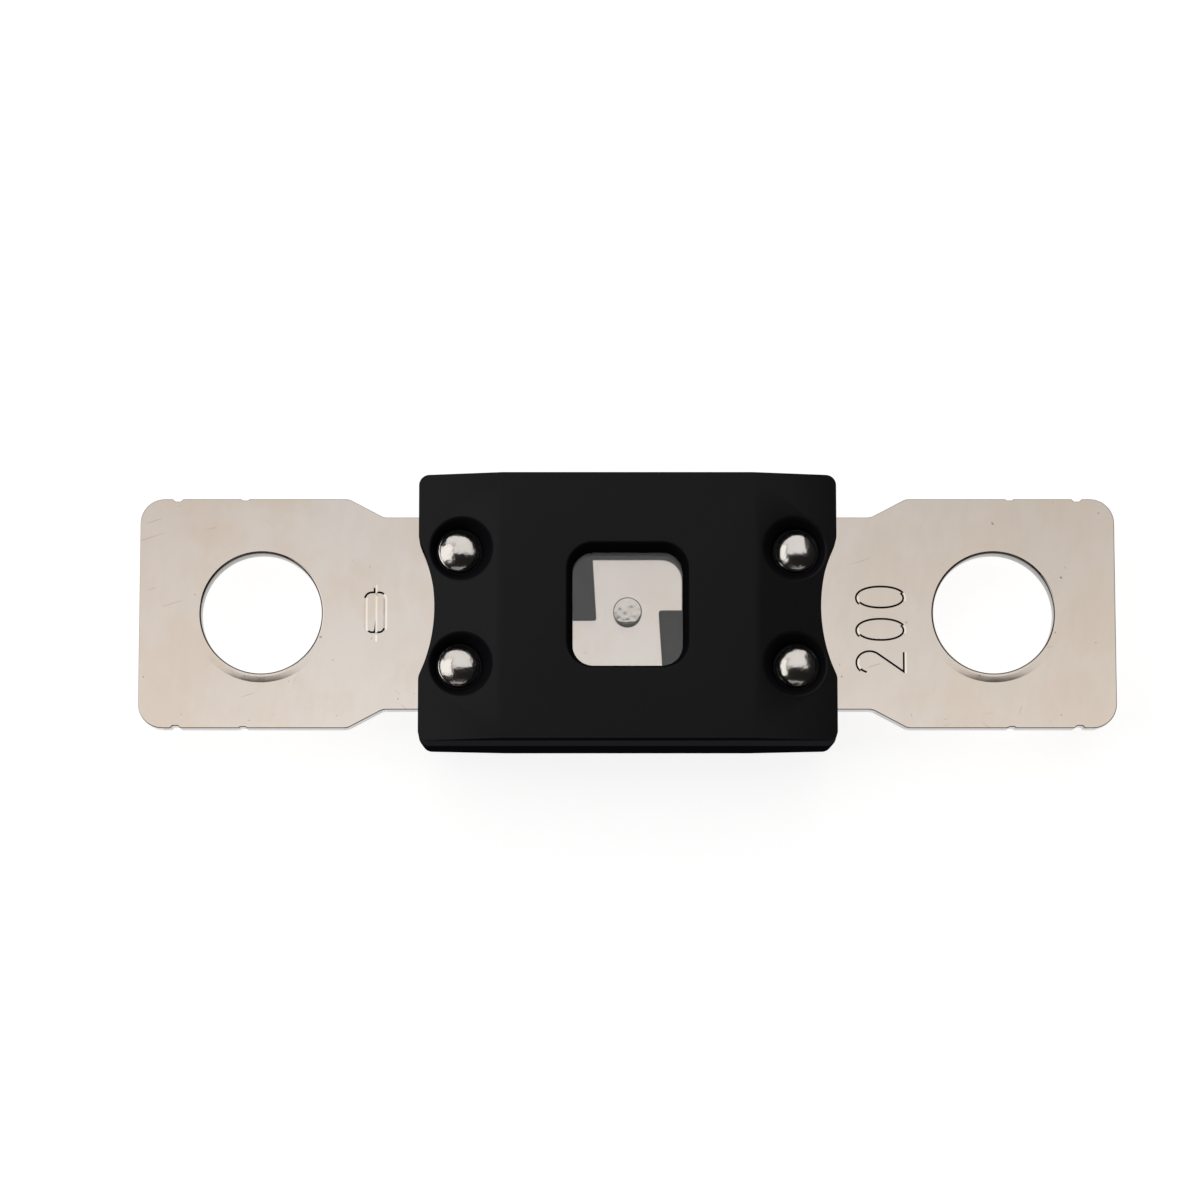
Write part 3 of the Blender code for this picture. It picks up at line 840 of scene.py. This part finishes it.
def round_rims(shell, chosen, width):
    """Rounds the outward edges that the test picks by their two ends."""
    bm = bmesh.new()
    bm.from_mesh(shell.data)
    bmesh.ops.dissolve_degenerate(bm, dist=MERGE, edges=bm.edges)
    rim_bend = math.radians(25.0)
    rims = [
        edge
        for edge in bm.edges
        if edge.is_convex
        and edge.calc_face_angle(0) > rim_bend
        and all(chosen(vertex.co) for vertex in edge.verts)
    ]
    bmesh.ops.bevel(
        bm,
        geom=rims,
        offset=width,
        offset_type="OFFSET",
        segments=4,
        profile=0.5,
        affect="EDGES",
        clamp_overlap=True,
    )
    bm.to_mesh(shell.data)
    bm.free()


def near_pocket_mouth(housing):
    reach = housing.pocket_rim / 2
    near = 0.25 * reach
    margin = 0.3 * MM
    lowest = roof_height(housing, HOUSING_LENGTH / 2) - margin

    def test(point):
        radius = min(math.hypot(point.x - x, point.y - y) for x, y in rivet_spots())
        return point.z > lowest and abs(radius - reach) < near

    return test


def near_window_mouth(window):
    margin = 0.2 * MM
    half_x = window.opening_length / 2 + margin
    half_y = window.opening_width / 2 + margin
    lowest = SHELL_HEIGHT - 0.01 * MM
    return lambda point: point.z > lowest and abs(point.x) < half_x and abs(point.y) < half_y


# Rivets


def socket_identifier(tree, name):
    return next(item.identifier for item in tree.interface.items_tree if item.name == name)


def rivet_tree():
    """Stands one rivet on each of four points, spread along and across the strip."""
    tree = bpy.data.node_groups.new("rivets_on_points", "GeometryNodeTree")
    tree.interface.new_socket("Geometry", in_out="OUTPUT", socket_type="NodeSocketGeometry")
    kinds = {"Rivet": "Object", "Along": "Float", "Across": "Float", "Material": "Material"}
    for name, kind in kinds.items():
        tree.interface.new_socket(name, in_out="INPUT", socket_type=f"NodeSocket{kind}")
    given = tree.nodes.new("NodeGroupInput")
    grid = tree.nodes.new("GeometryNodeMeshGrid")
    grid.inputs["Vertices X"].default_value = 2
    grid.inputs["Vertices Y"].default_value = 2
    source = tree.nodes.new("GeometryNodeObjectInfo")
    stand = tree.nodes.new("GeometryNodeInstanceOnPoints")
    realize = tree.nodes.new("GeometryNodeRealizeInstances")
    finish = tree.nodes.new("GeometryNodeSetMaterial")
    result = tree.nodes.new("NodeGroupOutput")
    for start, output, end, entry in (
        (given, "Along", grid, "Size X"),
        (given, "Across", grid, "Size Y"),
        (given, "Rivet", source, "Object"),
        (grid, "Mesh", stand, "Points"),
        (source, "Geometry", stand, "Instance"),
        (stand, "Instances", realize, "Geometry"),
        (realize, "Geometry", finish, "Geometry"),
        (given, "Material", finish, "Material"),
        (finish, "Geometry", result, "Geometry"),
    ):
        tree.links.new(start.outputs[output], end.inputs[entry])
    return tree


def rivet_shape(rivet):
    """A solid rivet with the same crowned head at both ends."""
    shank = rivet.shank / 2
    base = rivet_base(rivet)
    rim = RIVET_HEAD - rivet.edge_round
    sphere = (rim**2 + rivet.crown**2) / (2 * rivet.crown)
    reach = math.asin(rim / sphere)
    angles = [reach * step / 20 for step in range(21)]
    crown = [(sphere * math.sin(a), RIVET_TOP - sphere * (1 - math.cos(a))) for a in angles]
    edge_top = base + rivet.edge
    edge = [(RIVET_HEAD - inwards, edge_top - down) for inwards, down in reversed(quarter(rivet.edge_round))]
    upper = [*crown[:-1], *edge, (RIVET_HEAD, base), (shank, base)]
    lower = [(radius, -z) for radius, z in reversed(upper)]
    return turned("one_rivet", upper + lower, (0, 0, MIDDLE))


# Operators


class FUSE_OT_strip(bpy.types.Operator):
    """Make the stamped strip with its pads, notches, holes and stamped number"""

    bl_idname = "fuse.strip"
    bl_label = "Make Strip"

    def execute(self, context):
        settings = context.scene.strip_fuse
        strip = settings.strip
        shape = strip_blank(strip)
        holes = [bolt_hole_tool(strip, side * strip.hole_pitch / 2) for side in (-1, 1)]
        shank = settings.rivet.shank / 2 + FIT
        bore = [(0, -PAST), (shank, -PAST), (shank, 2 * MIDDLE), (0, 2 * MIDDLE)]
        bores = [turned("bore_tool", bore, (x, y, 0), BORE_STEPS) for x, y in rivet_spots()]
        stamps = [*number_tools(settings.stamp), *symbol_tools(settings.stamp)]
        cut(shape, [*holes, *bores, *stamps])
        raise_lips(shape, strip)
        shade(shape)
        finished(shape, ["fuse_strip"], plating_material(settings.finish))
        return {"FINISHED"}


class FUSE_OT_pellet(bpy.types.Operator):
    """Make the tin pellet in the middle of the fusible section"""

    bl_idname = "fuse.pellet"
    bl_label = "Make Pellet"

    def execute(self, context):
        settings = context.scene.strip_fuse
        pellet = settings.pellet
        seat = STRIP_HALF + FIT
        top = PELLET_HIGH.z - MIDDLE
        head = (PELLET_HIGH.x - PELLET_LOW.x) / 2
        shank = pellet.shank / 2
        dimple = pellet.dimple_width / 2
        rim = head - pellet.edge_round
        upper = [(0, top - pellet.dimple), (0.5 * dimple, top - 0.8 * pellet.dimple)]
        for share in (step / 12 for step in range(13)):
            upper.append((dimple + share * (rim - dimple), top - pellet.crown * share**2))
        edge_top = top - pellet.crown
        roll = reversed(quarter(pellet.edge_round, 4))
        upper += [(head - inwards, edge_top - down) for inwards, down in roll][1:]
        upper += [(head, seat), (shank, seat)]
        lower = [(radius, -z) for radius, z in reversed(upper)]
        shape = turned("dressed_pellet", upper + lower, (0, 0, MIDDLE), PELLET_STEPS)
        fall = math.tan(pellet.front_slope)
        for vertex in shape.data.vertices:
            if vertex.co.z > MIDDLE + seat:
                stray = 0.5 * (noise.noise(vertex.co / pellet.facet) - 1.0) * pellet.unevenness
                beyond = max(0.0, pellet.front_bevel - head - vertex.co.y + 3 * stray)
                vertex.co.z = max(vertex.co.z + stray - fall * beyond, MIDDLE + seat + FIT)
        shade(shape)
        finished(shape, ["tin_pellet"], tin_material(settings.finish))
        return {"FINISHED"}


class FUSE_OT_housing(bpy.types.Operator):
    """Make the upper and the lower moulded shell"""

    bl_idname = "fuse.housing"
    bl_label = "Make Housing"

    def execute(self, context):
        settings = context.scene.strip_fuse
        housing = settings.housing
        material = moulding_material(settings.finish)
        for name, depth in (("upper", housing.upper_chamber), ("lower", housing.lower_chamber)):
            shell = housing_blank(f"dressed_{name}_housing", housing)
            tools = list(shell_tools(name, housing, settings.rivet, depth))
            if name == "upper":
                tools += window_tools(settings.window)
            cut(shell, tools)
            round_rims(shell, near_pocket_mouth(housing), housing.rim_round)
            if name == "upper":
                round_rims(shell, near_window_mouth(settings.window), settings.window.rim_round)
            else:
                shell.data.transform(Matrix.Rotation(math.pi, 4, "X"))
            shell.data.transform(Matrix.Translation((0, 0, MIDDLE)))
            shade(shell)
            finished(shell, [f"{name}_housing"], material)
        return {"FINISHED"}


class FUSE_OT_lens(bpy.types.Operator):
    """Make the clear plate behind the window"""

    bl_idname = "fuse.lens"
    bl_label = "Make Lens"

    def execute(self, context):
        settings = context.scene.strip_fuse
        size = LENS_HIGH - LENS_LOW
        corners = rectangle(size.x, size.y, settings.window.corner)
        low = LENS_LOW.z
        high = LENS_HIGH.z
        sections = [(low, LENS_EDGE), (low + LENS_EDGE, 0), (high - LENS_EDGE, 0), (high, LENS_EDGE)]
        shape = loft("dressed_lens", [(z, rounded(corners, inset)) for z, inset in sections])
        shade(shape)
        finished(shape, ["window_lens"], lens_material())
        return {"FINISHED"}


class FUSE_OT_rivets(bpy.types.Operator):
    """Make the four rivets on their points"""

    bl_idname = "fuse.rivets"
    bl_label = "Make Rivets"

    def execute(self, context):
        settings = context.scene.strip_fuse
        material = rivet_material(settings.finish)
        one = rivet_shape(settings.rivet)
        shade(one)
        tree = rivet_tree()
        group = bpy.data.objects.new("dressed_rivets", bpy.data.meshes.new("dressed_rivets"))
        context.scene.collection.objects.link(group)
        modifier = group.modifiers.new("rivets", "NODES")
        modifier.node_group = tree
        values = {"Rivet": one, "Along": 2 * RIVET_X, "Across": 2 * RIVET_Y, "Material": material}
        for name, value in values.items():
            modifier[socket_identifier(tree, name)] = value
        settle(group)
        bpy.data.objects.remove(one, do_unlink=True)
        if not group.data.vertices:
            raise RuntimeError("the rivets' tree gave no mesh")
        nodes = [f"rivet_{side}_{edge}" for side in ("left", "right") for edge in ("front", "back")]
        finished(group, nodes, material)
        return {"FINISHED"}


def add_panel_light(name, across, along, height, radiance, tone):
    """A level lamp over the fuse. The fuse sees its edges at these angles in degrees, to +X and to +Y."""
    left, right = (height * math.tan(math.radians(turn)) for turn in across)
    front, back = (height * math.tan(math.radians(turn)) for turn in along)
    lamp = bpy.data.lights.new(name, "AREA")
    lamp.shape = "RECTANGLE"
    lamp.size = right - left
    lamp.size_y = back - front
    lamp.energy = radiance * math.pi * lamp.size * lamp.size_y
    lamp.color = tone
    holder = bpy.data.objects.new(name, lamp)
    holder.location = ((left + right) / 2, (front + back) / 2, MIDDLE + height)
    bpy.context.scene.collection.objects.link(holder)


def floor_material(stage):
    """Pale floor that keeps the shadow. To the camera, metal and glass it glows, up to white in the open."""
    constants = {"Roughness": 0.9, "Specular IOR Level": 0.0, "Base Color": opaque(stage.floor)}
    made = Finish("pale_floor", {**constants, "Emission Strength": stage.floor_glow})
    kinds = ("Is Camera Ray", "Is Glossy Ray", "Is Transmission Ray")
    seen = sum(made.node("ShaderNodeLightPath", {}, {}, kind) for kind in kinds)
    made.give("Emission Color", made.maths("MINIMUM", seen, 1.0))
    return made.material


def room(stage):
    """A room with pale low walls and a dim ceiling."""
    world = bpy.data.worlds.new("room")
    world.use_nodes = True
    tree = world.node_tree
    place = tree.nodes.new("ShaderNodeTexCoord")
    axes = tree.nodes.new("ShaderNodeSeparateXYZ")
    fade = tree.nodes.new("ShaderNodeMapRange")
    fade.interpolation_type = "SMOOTHSTEP"
    wall_top = 0.25
    ceiling_foot = 0.5
    ends = {"From Min": wall_top, "From Max": ceiling_foot, "To Min": stage.walls, "To Max": stage.ceiling}
    for name, value in ends.items():
        fade.inputs[name].default_value = value
    tree.links.new(place.outputs["Object"], axes.inputs["Vector"])
    tree.links.new(axes.outputs["Z"], fade.inputs["Value"])
    tree.links.new(fade.outputs["Result"], tree.nodes["Background"].inputs["Color"])
    return world


class FUSE_OT_stage(bpy.types.Operator):
    """Set the floor, the lamps, the room and the camera"""

    bl_idname = "fuse.stage"
    bl_label = "Set Stage"

    def execute(self, context):
        scene = context.scene
        stage = scene.strip_fuse.stage
        bm = bmesh.new()
        bmesh.ops.create_grid(bm, x_segments=1, y_segments=1, size=FLOOR_SIZE)
        floor = object_from(bm, "floor")
        floor.data.materials.append(floor_material(stage))
        aim = Vector((0.0, 0.0, MIDDLE))
        add_panel_light("overhead_panel", (-17, 29), (2, 58), LAMP_HEIGHT, stage.panel, LAMP_WHITE)
        add_panel_light("overhead_wing", (-37, -17), (26, 58), LAMP_HEIGHT, stage.panel, LAMP_WHITE)
        add_panel_light("left_box", (-68, -19), (-17, 25), LAMP_HEIGHT, stage.left_box, (1.0, 0.99, 0.97))
        add_panel_light("front_bar", (-25, 25), (-36, -31), BAR_HEIGHT, stage.front_bar, (1.0, 0.98, 0.95))
        scene.world = room(stage)
        scene.view_settings.view_transform = "Standard"
        back = Vector((0.0, -math.sin(stage.tilt), math.cos(stage.tilt)))
        up = Vector((0.0, math.cos(stage.tilt), math.sin(stage.tilt)))
        camera = bpy.data.objects.new("camera", bpy.data.cameras.new("camera"))
        camera.data.lens = stage.lens
        camera.data.clip_start = 0.01
        target = aim + Vector((stage.aim_across, 0.0, 0.0)) + stage.aim_up * up
        camera.location = target + stage.distance * back
        camera.rotation_euler = (stage.tilt, 0.0, 0.0)
        scene.collection.objects.link(camera)
        scene.camera = camera
        return {"FINISHED"}


class FUSE_PT_panel(bpy.types.Panel):
    """Lists the fuse's sizes and finishes, and the buttons that make its pieces"""

    bl_idname = "FUSE_PT_panel"
    bl_label = "Strip Fuse"
    bl_space_type = "VIEW_3D"
    bl_region_type = "UI"
    bl_category = "Strip Fuse"

    def draw(self, context):
        settings = context.scene.strip_fuse
        for name in PIECES:
            box = self.layout.box()
            box.label(text=name.title())
            group = getattr(settings, name)
            for key in group.__annotations__:
                box.prop(group, key)
        for operator in OPERATORS:
            self.layout.operator(operator.bl_idname)


PIECES = tuple(FUSE_PG_settings.__annotations__)
OPERATORS = (FUSE_OT_strip, FUSE_OT_pellet, FUSE_OT_housing, FUSE_OT_lens, FUSE_OT_rivets, FUSE_OT_stage)
CLASSES = (
    FUSE_PG_strip,
    FUSE_PG_stamp,
    FUSE_PG_housing,
    FUSE_PG_window,
    FUSE_PG_rivet,
    FUSE_PG_pellet,
    FUSE_PG_finish,
    FUSE_PG_stage,
    FUSE_PG_settings,
    *OPERATORS,
    FUSE_PT_panel,
)


def register():
    for item in CLASSES:
        bpy.utils.register_class(item)
    bpy.types.Scene.strip_fuse = PointerProperty(type=FUSE_PG_settings)


def unregister():
    del bpy.types.Scene.strip_fuse
    for item in reversed(CLASSES):
        bpy.utils.unregister_class(item)


def main():
    register()
    bpy.ops.fuse.strip()
    bpy.ops.fuse.pellet()
    bpy.ops.fuse.housing()
    bpy.ops.fuse.lens()
    bpy.ops.fuse.rivets()
    bpy.ops.fuse.stage()


if __name__ == "__main__":
    main()
